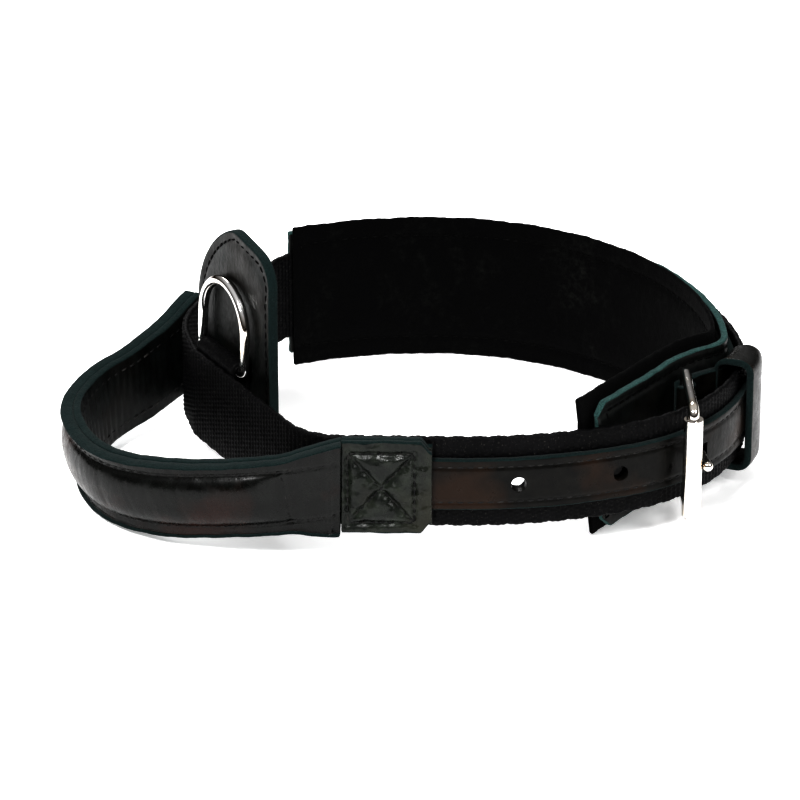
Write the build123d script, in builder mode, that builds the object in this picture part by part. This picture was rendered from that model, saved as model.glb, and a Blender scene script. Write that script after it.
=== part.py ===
from build123d import *

import os
from math import asin, atan2, cos, degrees, hypot, radians, sin

# A buckle-fastened working-dog collar with a padded grab handle, standing on its lower edge.
# Millimetres. X runs across the neck, Y front to back, Z up, the floor at z = 0.
# Straps are laid out in plan as routes: a start, a heading in degrees, and runs of (length, 0)
# for a straight or (radius, turn) for an arc, left turns positive. Every route runs
# anticlockwise, so a positive offset lies on the outer side of the collar.

os.makedirs("parts", exist_ok=True)

# Strap widths, upwards from the floor
panel_width = 50.0
leather_width = 44.0
padding_width = 38.0
webbing_width = 30.0
billet_width = 17.0
handle_width = 25.0
mid_height = panel_width / 2

# Layer thicknesses
lining = 1.4
padding = 2.0
leather = 2.2
webbing = 2.0
billet = 2.2
panel_total = lining + padding + leather

# Hardware
wire = 3.4
running_gap = 0.05
roller_radius = 3.0
roller_length = 32.6
roller_play = 0.3
frame_reach = 29.3
frame_heading = -87.9
frame_corner = 2.6
hinge_wrap = 3.6
hinge_notch = 4.1
tongue_radius = 1.6
tongue_length = 31.0
tongue_height = 4.4
tongue_eye_wall = 1.45
tongue_rest_gap = 0.15
tongue_swing = 4.0
ring_wire = 3.2
ring_width = 28.0
ring_leg = 12.0
ring_corner = 1.8
ring_lean = 2.5

# Wide panel: from the flared front end round the right side and back to the square end
panel_start = (49.9, -65.3)
panel_heading = 53.7
lining_flange = 4.5
panel_route = [
    (43.7, 0),
    (48, -3),
    (48, -20.7),
    (6, 60.4),
    (81, 7),
    (89, 4),
    (89, 6),
    (89, 74.1),
    (113, 2),
    (113, 20),
]

# Webbing after it leaves the panel: left side, front, buckle, then the turn back to the keeper
webbing_route = [
    (8, 30),
    (37, 0),
    (41, 50),
    (10.8, 0),
    (12, 16),
    (59.8, 0),
    (21, 59),
    (34.7, 0),
    (133, 23.5),
    (63, 49),
    (6.9, 0),
    (25, 19.4),
    (92.6, 7),
    (100.6, 24),
]

# Handle loop: inner face from the rear patch, round the left, to the front patch
handle_route = [
    (31.4, 0),
    (38, -14.6),
    (33, 63.6),
    (63, 13.4),
    (42, 25.8),
    (57, 18.1),
    (132, 18.7),
    (6.6, 0),
]
handle_tilt = 10.8
handle_leather = 2.6
handle_padding = 1.6
handle_total = 2 * handle_leather + handle_padding

# Fittings sewn on the straight runs
patch_length = 27.8
patch_height = 31.0
patch_thickness = 4.6
patch_inset = 3.4
patch_chamfer = 3.5
tab_thickness = 3.2
tab_gap = 8.9
ring_place = 9.0
ring_height = 40.0
ring_chape_width = 24.0
ring_chape_drop = 24.0
handle_core_width = 16.0

# Buckle leather and keeper
chape_leather = 1.3
keeper_wall = 1.2
keeper_clearance = 0.5
keeper_leather = 2.2
keeper_height = 38.4
keeper_place = 356.5
keeper_length = 13.0

# Holes and sewing
hole_radius = 2.4
hole_spacing = 32.0
first_hole_place = 19.3
slot_room = 0.45
slot_near = 8.0
slot_far = 30.0
thread = 0.7
thread_height = 0.35
billet_thread_height = 0.25
stitch_inset = 3.6
narrow_inset = 2.6


def walk(start, heading, route, offset=0.0):
    """Corner points and headings of a route, moved outwards by offset."""
    angle = radians(heading)
    x = start[0] + offset * sin(angle)
    y = start[1] - offset * cos(angle)
    stops = [((x, y), heading)]
    for size, turn in route:
        if turn == 0:
            x += size * cos(angle)
            y += size * sin(angle)
        else:
            side = 1 if turn > 0 else -1
            radius = size + side * offset
            x += side * radius * (sin(angle + radians(turn)) - sin(angle))
            y -= side * radius * (cos(angle + radians(turn)) - cos(angle))
            angle += radians(turn)
        stops.append(((x, y), degrees(angle)))
    return stops


def lay(start, heading, route, offset):
    """Draws a route's edge in the open line, moved outwards by offset."""
    stops = walk(start, heading, route, offset)
    for (size, turn), (begin, angle), (finish, _) in zip(route, stops, stops[1:]):
        if turn == 0:
            Line(begin, finish)
        else:
            side = 1 if turn > 0 else -1
            radius = size + side * offset
            middle = radians(angle + turn / 2)
            centre = (
                begin[0] - side * radius * sin(radians(angle)),
                begin[1] + side * radius * cos(radians(angle)),
            )
            crown = (
                centre[0] + side * radius * sin(middle),
                centre[1] - side * radius * cos(middle),
            )
            ThreePointArc(begin, crown, finish)
    return stops[0][0], stops[-1][0]


def band(start, heading, route, inner, outer):
    """Plan face of a strap layer between two offsets of a route."""
    with BuildSketch() as face:
        with BuildLine():
            inner_ends = lay(start, heading, route, inner)
            outer_ends = lay(start, heading, route, outer)
            for near, far in zip(inner_ends, outer_ends):
                Line(near, far)
        make_face()
    return face.sketch


def part_of(start, heading, route, first, last):
    """Start, heading and pieces of the stretch of a route from piece first to piece last."""
    point, angle = walk(start, heading, route)[first]
    return point, angle, route[first : last + 1]


def station(start, heading, route, distance, offset=0.0):
    """Point and heading at a distance along a route, moved outwards by offset."""
    left = distance
    pieces = []
    for size, turn in route:
        length = size if turn == 0 else size * radians(abs(turn))
        if left <= length:
            share = left / length
            pieces.append((size * share, 0) if turn == 0 else (size, turn * share))
            break
        pieces.append((size, turn))
        left -= length
    return walk(start, heading, pieces, offset)[-1]


def between(start, heading, route, first, last):
    """The pieces of a route between two distances along it."""
    gone = 0.0
    pieces = []
    for size, turn in route:
        length = size if turn == 0 else size * radians(abs(turn))
        share = (min(last, gone + length) - max(first, gone)) / length
        if share > 0:
            pieces.append((size * share, 0) if turn == 0 else (size, turn * share))
        gone += length
    return pieces


def outward(angle):
    """Unit vector pointing out of a strap whose heading is angle."""
    return Vector(sin(radians(angle)), -cos(radians(angle)), 0)


def along(angle):
    """Unit vector along a heading."""
    return Vector(cos(radians(angle)), sin(radians(angle)), 0)


def face_plane(stop, offset, height=mid_height):
    """Upright plane on a strap's face: x along the strap, y up, z outwards."""
    (x, y), angle = stop
    spot = Vector(x, y, height) + outward(angle) * offset
    return Plane(origin=spot, x_dir=along(angle), z_dir=outward(angle))


def reach(route, pieces):
    """Length of the first pieces of a route."""
    return sum(size if turn == 0 else size * radians(abs(turn)) for size, turn in route[:pieces])


def strap_layer(route, inner, outer, width, centre=mid_height):
    """A strap layer of the given width, standing on edge."""
    with BuildPart() as layer:
        with BuildSketch(Plane.XY.offset(centre - width / 2)):
            add(band(*route, inner, outer))
        extrude(amount=width)
    return layer.part


def bent_wire(path, diameter):
    """Round wire bent along the straights and arcs of a line."""
    with BuildPart() as rod:
        for edge in path.edges():
            with BuildSketch(Plane(origin=edge @ 0, z_dir=edge % 0)):
                Circle(diameter / 2)
            sweep(path=edge)
    return rod.part


def finish(builder, name):
    """Labels a finished piece and writes it."""
    builder.part.label = name
    export_step(builder.part, f"parts/{name}.step")


panel = (panel_start, panel_heading, panel_route)

# The webbing starts inside the back end of the panel, where it takes the padding's place
pocket = walk(*panel, offset=lining + webbing)[-2]
pocket_radius = panel_route[-1][0] + lining + webbing
pocket_turn = panel_route[-1][1]
strap = (*pocket, [(pocket_radius, pocket_turn)] + webbing_route)
strap_stops = walk(*strap)
front_run = strap_stops[8]


# ---------------------------------------------------------------- wide panel

with BuildPart() as panel_lining:
    add(strap_layer(panel, 0, lining, panel_width))
finish(panel_lining, "panel_lining")

leather_panel = (*station(*panel, lining_flange), [(panel_route[0][0] - lining_flange, 0)] + panel_route[1:])
with BuildPart() as panel_leather:
    add(strap_layer(leather_panel, lining + padding, panel_total, leather_width))
finish(panel_leather, "panel_leather")

padding_stretch = part_of(*leather_panel, 0, len(panel_route) - 2)
with BuildPart() as panel_padding:
    add(strap_layer(padding_stretch, lining, lining + padding, padding_width))
finish(panel_padding, "panel_padding")

with BuildPart() as panel_stitching:
    for side in (-1, 1):
        row = mid_height + side * (leather_width / 2 - stitch_inset)
        add(strap_layer(leather_panel, panel_total, panel_total + thread_height, thread, row))
finish(panel_stitching, "panel_stitching")


# ---------------------------------------------------------------- buckle layout

hinge_stop = walk(*panel, offset=panel_total + hinge_wrap)[2]
hinge = Vector(*hinge_stop[0], mid_height)
roller_centre = hinge + along(frame_heading) * frame_reach
tongue_offset = roller_radius + tongue_radius + tongue_rest_gap
tongue_heading = frame_heading + degrees(asin(tongue_offset / frame_reach))


# ---------------------------------------------------------------- webbing and billet

first_hole = reach(strap[2], 9) + first_hole_place
hole_depth = 10.0
hole_marks = [first_hole + hole_spacing * count for count in (0, 1, 3, 4)]


def flat(vector):
    """A vector's plan coordinates."""
    return vector.X, vector.Y


def strap_holes():
    """The round holes, and the slot that the tongue has drawn out of its own."""
    room = tongue_radius + slot_room
    closed = along(tongue_heading)
    swung = along(tongue_heading + tongue_swing)
    closed_side = outward(tongue_heading) * -room
    swung_side = outward(tongue_heading + tongue_swing) * room
    with BuildPart() as holes:
        for mark in hole_marks:
            with BuildSketch(face_plane(station(*strap, mark), hole_depth)):
                Circle(hole_radius)
            extrude(amount=-2 * hole_depth)
        with BuildSketch(Plane.XY.offset(mid_height - room)):
            with BuildLine():
                Polyline(
                    flat(hinge + closed * slot_near - closed_side),
                    flat(hinge + closed * slot_far - closed_side),
                    flat(hinge + swung * slot_far - swung_side),
                    flat(hinge + swung * slot_near - swung_side),
                    close=True,
                )
            make_face()
        extrude(amount=2 * room)
    return holes.part


with BuildPart() as webbing_strap:
    add(strap_layer(strap, -webbing, 0, webbing_width))
    add(strap_holes(), mode=Mode.SUBTRACT)
finish(webbing_strap, "webbing_strap")

billet_start = reach(strap[2], 8) + patch_length
billet_stop = station(*strap, billet_start)
billet_route = (*billet_stop, [(reach(strap[2], 9) - billet_start, 0)] + strap[2][9:])
with BuildPart() as billet_leather:
    add(strap_layer(billet_route, 0, billet, billet_width))
    add(strap_holes(), mode=Mode.SUBTRACT)
finish(billet_leather, "billet_leather")

with BuildPart() as billet_stitching:
    for side in (-1, 1):
        row = mid_height + side * (billet_width / 2 - narrow_inset)
        add(strap_layer(billet_route, billet, billet + billet_thread_height, thread, row))
finish(billet_stitching, "billet_stitching")


# ---------------------------------------------------------------- grab handle

rear_patch_stop = station(*strap, reach(strap[2], 3) - patch_length)
rear_edge = strap_stops[3]
front_edge = front_run
rear_point = Vector(*rear_edge[0], mid_height)
front_point = Vector(*front_edge[0], mid_height)
tilt_axis = Axis(rear_point, front_point - rear_point)
loop_origin = rear_point + (Vector(0, 0, mid_height) - rear_point).rotate(tilt_axis, handle_tilt)
loop_plane = Plane(
    origin=loop_origin,
    x_dir=Vector(1, 0, 0).rotate(tilt_axis, handle_tilt),
    z_dir=Vector(0, 0, 1).rotate(tilt_axis, handle_tilt),
)
overrun = 4.0
handle_start = rear_point - along(rear_edge[1]) * overrun
handle = (flat(handle_start), rear_edge[1], [(overrun, 0)] + handle_route + [(overrun, 0)])


def loop_layer(inner, outer, width, centre=0.0):
    """A layer of the tilted handle loop, cut square at the two patches."""
    with BuildPart() as layer:
        with BuildSketch(loop_plane.offset(centre - width / 2)):
            add(band(*handle, inner, outer))
        extrude(amount=width)
        split(bisect_by=Plane(origin=rear_point, z_dir=along(rear_edge[1])), keep=Keep.TOP)
        split(bisect_by=Plane(origin=front_point, z_dir=-along(front_edge[1])), keep=Keep.TOP)
    return layer.part


with BuildPart() as handle_inner_leather:
    add(loop_layer(0, handle_leather, handle_width))
    for stop in (rear_patch_stop, front_edge):
        with BuildSketch(face_plane(stop, 0)):
            with Locations((patch_length / 2, 0)):
                Rectangle(patch_length, handle_width)
        extrude(amount=handle_leather)
    add(webbing_strap.part, mode=Mode.SUBTRACT)
finish(handle_inner_leather, "handle_inner_leather")

with BuildPart() as handle_core:
    add(loop_layer(handle_leather, handle_leather + handle_padding, handle_core_width))
finish(handle_core, "handle_padding")

with BuildPart() as handle_outer_leather:
    add(loop_layer(handle_leather, handle_total, handle_width))
    add(handle_core.part, mode=Mode.SUBTRACT)
finish(handle_outer_leather, "handle_outer_leather")

with BuildPart() as handle_stitching:
    for side in (-1, 1):
        row = side * (handle_width / 2 - stitch_inset)
        add(loop_layer(handle_total, handle_total + thread_height, thread, row))
finish(handle_stitching, "handle_stitching")


# ---------------------------------------------------------------- patches over the handle's ends

def patch(stop):
    """Leather patch over a handle end, hollowed at the back for the end it covers."""
    with BuildPart() as piece:
        with BuildSketch(face_plane(stop, 0)):
            with Locations((patch_length / 2, 0)):
                Rectangle(patch_length, patch_height)
            chamfer(vertices().group_by(Axis.X)[-1], patch_chamfer)
        extrude(amount=patch_thickness)
        with BuildSketch(face_plane(stop, 0)):
            with Locations((patch_length / 2, 0)):
                Rectangle(patch_length, handle_width)
        extrude(amount=handle_leather, mode=Mode.SUBTRACT)
    return piece.part


def box_and_cross(stop):
    """The sewn square with its diagonals, on a patch's face."""
    long = patch_length - 2 * patch_inset
    high = patch_height - 2 * patch_inset
    with BuildPart() as rows:
        with BuildSketch(face_plane(stop, patch_thickness)):
            with Locations((patch_length / 2, 0)):
                Rectangle(long + thread, high + thread)
                Rectangle(long - thread, high - thread, mode=Mode.SUBTRACT)
                for turn in (-1, 1):
                    slope = degrees(atan2(high, long)) * turn
                    Rectangle(hypot(long, high) - thread, thread, rotation=slope)
        extrude(amount=thread_height)
    return rows.part


for name, stop in (("front", front_edge), ("rear", rear_patch_stop)):
    with BuildPart() as patch_piece:
        add(patch(stop))
    finish(patch_piece, f"{name}_patch")
    with BuildPart() as patch_rows:
        add(box_and_cross(stop))
    finish(patch_rows, f"{name}_patch_stitching")


# ---------------------------------------------------------------- D-ring with its tab and chape

ring_station = station(*strap, reach(strap[2], 6) + ring_place)
ring_depth = tab_gap - webbing
ring_plane = face_plane(ring_station, -(webbing + ring_depth / 2), ring_height)
bar_plane = Plane(origin=ring_plane.origin, x_dir=-ring_plane.z_dir, z_dir=ring_plane.x_dir)

with BuildPart() as d_ring:
    lean_axis = Axis(ring_plane.origin, ring_plane.x_dir)
    lean_plane = Plane(
        origin=ring_plane.origin,
        x_dir=ring_plane.x_dir,
        z_dir=ring_plane.z_dir.rotate(lean_axis, -ring_lean),
    )
    half = ring_width / 2
    corner = ring_corner
    with BuildLine(lean_plane) as ring_path:
        Line((-half + corner, 0), (half - corner, 0))
        RadiusArc((half - corner, 0), (half, corner), -corner)
        Line((half, corner), (half, ring_leg))
        ThreePointArc((half, ring_leg), (0, ring_leg + half), (-half, ring_leg))
        Line((-half, ring_leg), (-half, corner))
        RadiusArc((-half, corner), (-half + corner, 0), -corner)
    add(bent_wire(ring_path.line, ring_wire))
finish(d_ring, "d_ring")

with BuildPart() as dring_chape:
    with BuildSketch(bar_plane):
        with Locations((0, -ring_chape_drop / 2)):
            Rectangle(ring_depth, ring_chape_drop)
        Circle(ring_depth / 2)
        Circle(ring_wire / 2 + running_gap, mode=Mode.SUBTRACT)
    extrude(amount=ring_chape_width / 2, both=True)
    add(webbing_strap.part, mode=Mode.SUBTRACT)
finish(dring_chape, "dring_chape")

with BuildPart() as dring_tab:
    with BuildSketch(face_plane(ring_station, -tab_gap, mid_height)) as tab_face:
        with BuildLine():
            Polyline((-23.5, 30), (-23.5, -14), (25, -14), (25, 44))
            ThreePointArc((25, 44), (23.6, 52.5), (18, 56.5))
            Line((18, 56.5), (2, 59))
            ThreePointArc((2, 59), (-14.5, 47.8), (-23.5, 30))
        make_face()
    extrude(amount=-tab_thickness)
finish(dring_tab, "dring_tab")

with BuildPart() as tab_stitching:
    with BuildSketch(face_plane(ring_station, -tab_gap, mid_height)):
        offset(tab_face.sketch_local, -narrow_inset)
        offset(tab_face.sketch_local, -narrow_inset - thread, mode=Mode.SUBTRACT)
    extrude(amount=thread_height)
finish(tab_stitching, "tab_stitching")


# ---------------------------------------------------------------- buckle

frame_half = roller_length / 2 + roller_play + frame_corner
frame_plane = Plane(origin=hinge, x_dir=along(frame_heading), z_dir=outward(frame_heading))

with BuildPart() as buckle_frame:
    with BuildLine(frame_plane) as frame_path:
        straight = frame_half - frame_corner
        Line((0, -straight), (0, straight))
        RadiusArc((0, straight), (frame_corner, frame_half), frame_corner)
        Line((frame_corner, frame_half), (frame_reach - frame_corner, frame_half))
        RadiusArc((frame_reach - frame_corner, frame_half), (frame_reach, straight), frame_corner)
        Line((frame_reach, straight), (frame_reach, -straight))
        RadiusArc((frame_reach, -straight), (frame_reach - frame_corner, -frame_half), frame_corner)
        Line((frame_reach - frame_corner, -frame_half), (frame_corner, -frame_half))
        RadiusArc((frame_corner, -frame_half), (0, -straight), frame_corner)
    add(bent_wire(frame_path.line, wire))
finish(buckle_frame, "buckle_frame")

with BuildPart() as buckle_roller:
    with BuildSketch(Plane.XY.offset(mid_height - roller_length / 2)):
        with Locations(flat(roller_centre)):
            Circle(roller_radius)
            Circle(wire / 2 + running_gap, mode=Mode.SUBTRACT)
    extrude(amount=roller_length)
finish(buckle_roller, "buckle_roller")

with BuildPart() as buckle_tongue:
    tongue_eye = wire / 2 + running_gap
    with BuildSketch(Plane.XY.offset(mid_height - tongue_height / 2)):
        with Locations(flat(hinge)):
            Circle(tongue_eye + tongue_eye_wall)
    extrude(amount=tongue_height)
    with BuildSketch(Plane(origin=hinge, z_dir=along(tongue_heading))):
        Circle(tongue_radius)
    extrude(amount=tongue_length)
    fillet(faces().sort_by(Axis.Y)[0].edges(), tongue_radius * 0.9)
    with BuildSketch(Plane.XY.offset(mid_height - tongue_height)):
        with Locations(flat(hinge)):
            Circle(tongue_eye)
    extrude(amount=2 * tongue_height, mode=Mode.SUBTRACT)
finish(buckle_tongue, "buckle_tongue")


# ---------------------------------------------------------------- keeper and buckle chape

keeper_stop = station(*strap, keeper_place)
keeper_route = (*keeper_stop, between(*strap, keeper_place, keeper_place + keeper_length))
keeper_inside = billet + keeper_clearance
keeper_outside = keeper_inside + keeper_leather
keeper_deep = 12.0
with BuildPart() as keeper_room:
    add(strap_layer(keeper_route, -keeper_deep, keeper_inside, keeper_height - 2 * keeper_leather))
    add(strap_layer(panel, 0, panel_total + keeper_wall, panel_width), mode=Mode.SUBTRACT)

with BuildPart() as keeper_loop:
    add(strap_layer(keeper_route, -keeper_deep, keeper_outside, keeper_height))
    add(strap_layer(panel, -keeper_deep, panel_total + thread_height, panel_width), mode=Mode.SUBTRACT)
    add(keeper_room.part, mode=Mode.SUBTRACT)
finish(keeper_loop, "keeper_loop")

chape_stretch = part_of(*panel, 2, 6)
half_webbing = webbing_width / 2
with BuildPart() as buckle_chape:
    add(strap_layer(chape_stretch, panel_total, panel_total + 2 * chape_leather, webbing_width))
    with BuildSketch(Plane.XY.offset(mid_height - half_webbing)):
        with Locations(flat(hinge)):
            Circle(hinge_wrap)
    extrude(amount=webbing_width)
    with BuildSketch(Plane.XY.offset(mid_height - half_webbing)):
        with Locations(flat(hinge)):
            Circle(wire / 2 + running_gap)
    extrude(amount=webbing_width, mode=Mode.SUBTRACT)
    with BuildSketch(Plane.XY.offset(mid_height - tongue_height / 2 - 1)):
        with Locations(flat(hinge)):
            Circle(hinge_notch)
    extrude(amount=tongue_height + 2, mode=Mode.SUBTRACT)
    add(keeper_loop.part, mode=Mode.SUBTRACT)
finish(buckle_chape, "buckle_chape")
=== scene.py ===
import random
from math import atan2, cos, degrees, hypot, pi, radians, sin, sqrt, tan

import bpy
import numpy as np
from mathutils import Matrix, Vector
from numpy.linalg import norm


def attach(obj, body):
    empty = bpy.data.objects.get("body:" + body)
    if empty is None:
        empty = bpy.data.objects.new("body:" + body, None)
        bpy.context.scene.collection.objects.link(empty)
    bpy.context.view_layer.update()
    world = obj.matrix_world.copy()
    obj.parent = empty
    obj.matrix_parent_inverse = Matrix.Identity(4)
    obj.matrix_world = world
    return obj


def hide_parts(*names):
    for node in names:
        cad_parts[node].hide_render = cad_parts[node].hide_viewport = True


# The looks of a buckle-fastened working-dog collar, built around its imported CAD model.
# Shapes are worked out in millimetres and written to Blender in metres.
# A route is a list of (length, 0) for a straight or (radius, turn) for an arc, left turns
# positive, and it runs anticlockwise, so a positive offset is on the collar's outer side.

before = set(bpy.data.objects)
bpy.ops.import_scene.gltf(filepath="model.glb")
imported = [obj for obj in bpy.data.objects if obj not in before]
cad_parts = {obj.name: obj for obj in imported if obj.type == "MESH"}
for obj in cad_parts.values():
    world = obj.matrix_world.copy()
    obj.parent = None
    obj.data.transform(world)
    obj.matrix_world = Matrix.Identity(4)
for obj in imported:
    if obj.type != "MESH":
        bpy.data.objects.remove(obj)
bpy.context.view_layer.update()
scene = bpy.context.scene
MM = 0.001
rng = random.Random(7)
up = np.array([0.0, 0.0, 1.0])

# ---- driving sizes, as in the design

panel_width = 50.0
leather_width = 44.0
webbing_width = 30.0
billet_width = 17.0
handle_width = 25.0
mid_height = panel_width / 2

lining = 1.4
padding = 2.0
leather_thickness = 2.2
webbing = 2.0
billet = 2.2
panel_total = lining + padding + leather_thickness
handle_leather = 2.6
handle_padding = 1.6
handle_total = 2 * handle_leather + handle_padding
handle_tilt = 10.8
patch_length = 27.8
patch_height = 31.0
patch_thickness = 4.6
patch_hollow = 2.6
tab_thickness = 3.2
tab_gap = 8.9
ring_place = 9.0
ring_height = 40.0
wire = 3.4
hinge_wrap = 3.6
frame_reach = 29.3
frame_heading = -87.9
roller_radius = 3.0
tongue_radius = 1.6
tongue_swing = 4.0
tongue_rest_gap = 0.15
slot_clearance = 0.45
hole_radius = 2.4
hole_depth = 20.0
hole_spacing = 32.0
first_hole_place = 19.3
stitch_inset = 3.6

panel_route = [
    (43.7, 0), (48, -3), (48, -20.7), (6, 60.4), (81, 7),
    (89, 4), (89, 6), (89, 74.1), (113, 2), (113, 20),
]
webbing_route = [
    (8, 30), (37, 0), (41, 50), (10.8, 0), (12, 16), (59.8, 0), (21, 59),
    (34.7, 0), (133, 23.5), (63, 49), (6.9, 0), (25, 19.4), (92.6, 7), (100.6, 24),
]
handle_route = [
    (31.4, 0), (38, -14.6), (33, 63.6), (63, 13.4), (42, 25.8), (57, 18.1), (132, 18.7), (6.6, 0),
]


# ---- routes

def trace(start, heading, route, step=1.0):
    """Rows of distance, x, y and heading in radians along a route, about step apart."""
    x, y = start
    angle = radians(heading)
    gone = 0.0
    rows = [(gone, x, y, angle)]
    for size, turn in route:
        bend = radians(turn)
        length = size if turn == 0 else size * abs(bend)
        count = max(1, round(length / step))
        for _ in range(count):
            part = bend / count
            run = length / count if turn == 0 else 2 * size * sin(abs(part) / 2)
            x += run * cos(angle + part / 2)
            y += run * sin(angle + part / 2)
            angle += part
            gone += length / count
            rows.append((gone, x, y, angle))
    return np.array(rows)


def reach(route, pieces):
    """Length of the first pieces of a route."""
    return sum(size if turn == 0 else size * radians(abs(turn)) for size, turn in route[:pieces])


def at(line, distance):
    """Distance, x, y and heading at one or more distances along a traced line."""
    return np.stack([np.interp(distance, line[:, 0], line[:, k]) for k in range(4)], axis=-1)


def stretch(line, first, last, step):
    """The part of a traced line between two distances, sampled about step apart."""
    count = max(2, round((last - first) / step) + 1)
    return at(line, np.linspace(first, last, count))


def straight(stop, first, last, count):
    """Rows between two distances along the straight that sets off from a stop."""
    places = np.linspace(first, last, count)
    return np.stack([places, stop[1] + cos(stop[3]) * places, stop[2] + sin(stop[3]) * places,
                     np.full(count, stop[3])], axis=1)


def beside(stop, offset):
    """The plan point at an offset from a stop on a line."""
    return stop[1] + sin(stop[3]) * offset, stop[2] - cos(stop[3]) * offset


def outward(angle):
    """The level direction away from the collar's middle, for a heading in radians."""
    return np.array([sin(angle), -cos(angle), 0.0])


def onward(angle):
    """The level direction along a heading in radians."""
    return np.array([cos(angle), sin(angle), 0.0])


def upright(x, y, z):
    """Plan coordinates and a height, as points."""
    return np.stack([x, y, z], axis=-1)


# ---- smooth noise for shapes

def wander(values, scale, seed):
    """A smooth, repeatable wandering of about -1 to 1 along an array of lengths."""
    waves = random.Random(seed)
    total = np.zeros_like(values, dtype=float)
    for power in (1.0, 1.9, 3.3, 5.1):
        total += np.sin(values * power / scale + waves.uniform(0, 2 * pi)) / power
    return total / 1.8


def dimple(gap, width):
    """A soft bump of height 1 where gap is 0."""
    return np.exp(-((gap / width) ** 2))


def rise(value, low, high):
    """Smooth step from 0 at low to 1 at high."""
    share = np.clip((value - low) / (high - low), 0, 1)
    return share * share * (3 - 2 * share)


# ---- mesh builders

def show(name, data):
    """A new object in the scene."""
    piece = bpy.data.objects.new(name, data)
    scene.collection.objects.link(piece)
    return piece


def mesh_of(name, points, faces):
    """A mesh from points in millimetres."""
    mesh = bpy.data.meshes.new(name)
    mesh.from_pydata((np.asarray(points) * MM).tolist(), [], faces)
    return mesh


def make(name, points, faces, slots, materials, body="collar", record_slot=None):
    """A smooth-shaded piece from points in millimetres."""
    mesh = mesh_of(name, points, faces)
    for material in materials:
        mesh.materials.append(material)
    mesh.polygons.foreach_set("material_index", slots)
    mesh.shade_smooth()
    mesh.update()
    piece = show(name, mesh)
    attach(piece, body)
    return piece


def sew(name, rows, thread_material):
    """One piece of thread from several rows of stitches."""
    return make(name, *joined(*rows), [thread_material], record_slot="thread")


FACE, EDGE, BACK = 0, 1, 2


def section(across, round_steps):
    """Parameters of a strap's cross-section: side, place across, and turn round the edges."""
    outer = [(1, t, 0.0, 0.0) for t in np.linspace(-1, 1, across)]
    top = [(0, 1, cos(a), sin(a)) for a in np.linspace(pi / 2, -pi / 2, round_steps + 2)[1:-1]]
    inner = [(-1, t, 0.0, 0.0) for t in np.linspace(1, -1, across)]
    low = [(0, -1, cos(a), sin(a)) for a in np.linspace(-pi / 2, pi / 2, round_steps + 2)[1:-1]]
    return np.array(outer + top + inner + low)


def strap_data(line, layer, low, high, relief=None, wobble=None, across=40, corner=0.5,
               place=upright, rounds=(True, True), round_steps=5, shear=None):
    """Points, faces and slots of a strap standing between the heights low(s) and high(s)."""
    ends = [corner * share for share in (0.0, 0.35, 0.7)]
    first, last = line[0, 0], line[-1, 0]
    inner_rows = line[(line[:, 0] > first + corner) & (line[:, 0] < last - corner)]
    front = at(line, np.array([first + e for e in ends] + [first + corner]))
    back = at(line, np.array([last - corner] + [last - e for e in ends[::-1]]))
    rows = np.concatenate([front, inner_rows, back])
    s, base_x, base_y, angle = rows.T[:, :, None]
    shrink = np.zeros(len(rows))
    for near, on in ((rows[:, 0] - first, rounds[0]), (last - rows[:, 0], rounds[1])):
        if on:
            away = np.clip(corner - near, 0, corner)
            shrink = np.maximum(shrink, corner - np.sqrt(np.maximum(corner**2 - away**2, 0)))
    shrink = shrink[:, None]
    ring = section(across, round_steps)
    side, t, out, turn = ring.T[:, None]
    bottom = low(s) + shrink if callable(low) else low + shrink
    top = high(s) - shrink if callable(high) else high - shrink
    middle, half = (top + bottom) / 2, (top - bottom) / 2
    z = middle + t * (half - corner) + np.sign(t) * corner * out * (side == 0)
    inner, outer = layer[0] + shrink, layer[1] - shrink
    soft = corner * (1 - np.abs(turn))
    edge_off = np.where(turn >= 0, outer - soft, inner + soft)
    off = np.where(side > 0, outer, np.where(side < 0, inner, edge_off))
    if wobble is not None:
        z = z + wobble(s, np.sign(t)) * np.abs(t) ** 8
    if relief is not None:
        off = off + relief(s, z - middle, side) * (side != 0)
    if shear is not None:
        shift = shear(s, z)
        base_x, base_y = base_x + np.cos(angle) * shift, base_y + np.sin(angle) * shift
    x = base_x + np.sin(angle) * off
    y = base_y - np.cos(angle) * off
    points = place(x, y, z + 0 * x).reshape(-1, 3)
    count = ring.shape[0]
    n = len(rows)
    grid = np.arange(n * count).reshape(n, count)
    a, b = grid[:-1], grid[1:]
    quads = np.stack([a, b, np.roll(b, -1, axis=1), np.roll(a, -1, axis=1)], axis=-1)
    follows = np.roll(side[0], -1)
    kind = np.where((side[0] > 0) & (follows > 0), FACE,
                    np.where((side[0] < 0) & (follows < 0), BACK, EDGE))
    slots = np.tile(kind, n - 1).tolist() + [EDGE, EDGE]
    faces = quads.reshape(-1, 4).tolist()
    faces.append(grid[0].tolist())
    faces.append(grid[-1][::-1].tolist())
    return points, faces, slots


def joined(*datas):
    """Several sets of points, faces and slots as one."""
    points, faces, slots, start = [], [], [], 0
    for some_points, some_faces, some_slots in datas:
        points.append(np.asarray(some_points))
        faces += [[index + start for index in face] for face in some_faces]
        slots += list(some_slots)
        start += len(some_points)
    return np.concatenate(points), faces, slots


def star(outline):
    """An outline's centre, rays and their lengths, and how much they slant to its normals."""
    centre = outline.mean(axis=0)
    ray = outline - centre
    distance = norm(ray, axis=1)
    tangent = np.roll(outline, -1, axis=0) - np.roll(outline, 1, axis=0)
    facing = np.abs(tangent[:, 1] * ray[:, 0] - tangent[:, 0] * ray[:, 1])
    facing /= norm(tangent, axis=1) * distance
    return centre, ray, distance, 1 / np.clip(facing, 0.5, 1)


def inset_outline(outline, inset):
    """A star-shaped outline moved inwards."""
    centre, ray, distance, slope = star(outline)
    return centre + ray * np.maximum(1 - inset * slope / distance, 0)[:, None]


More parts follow.
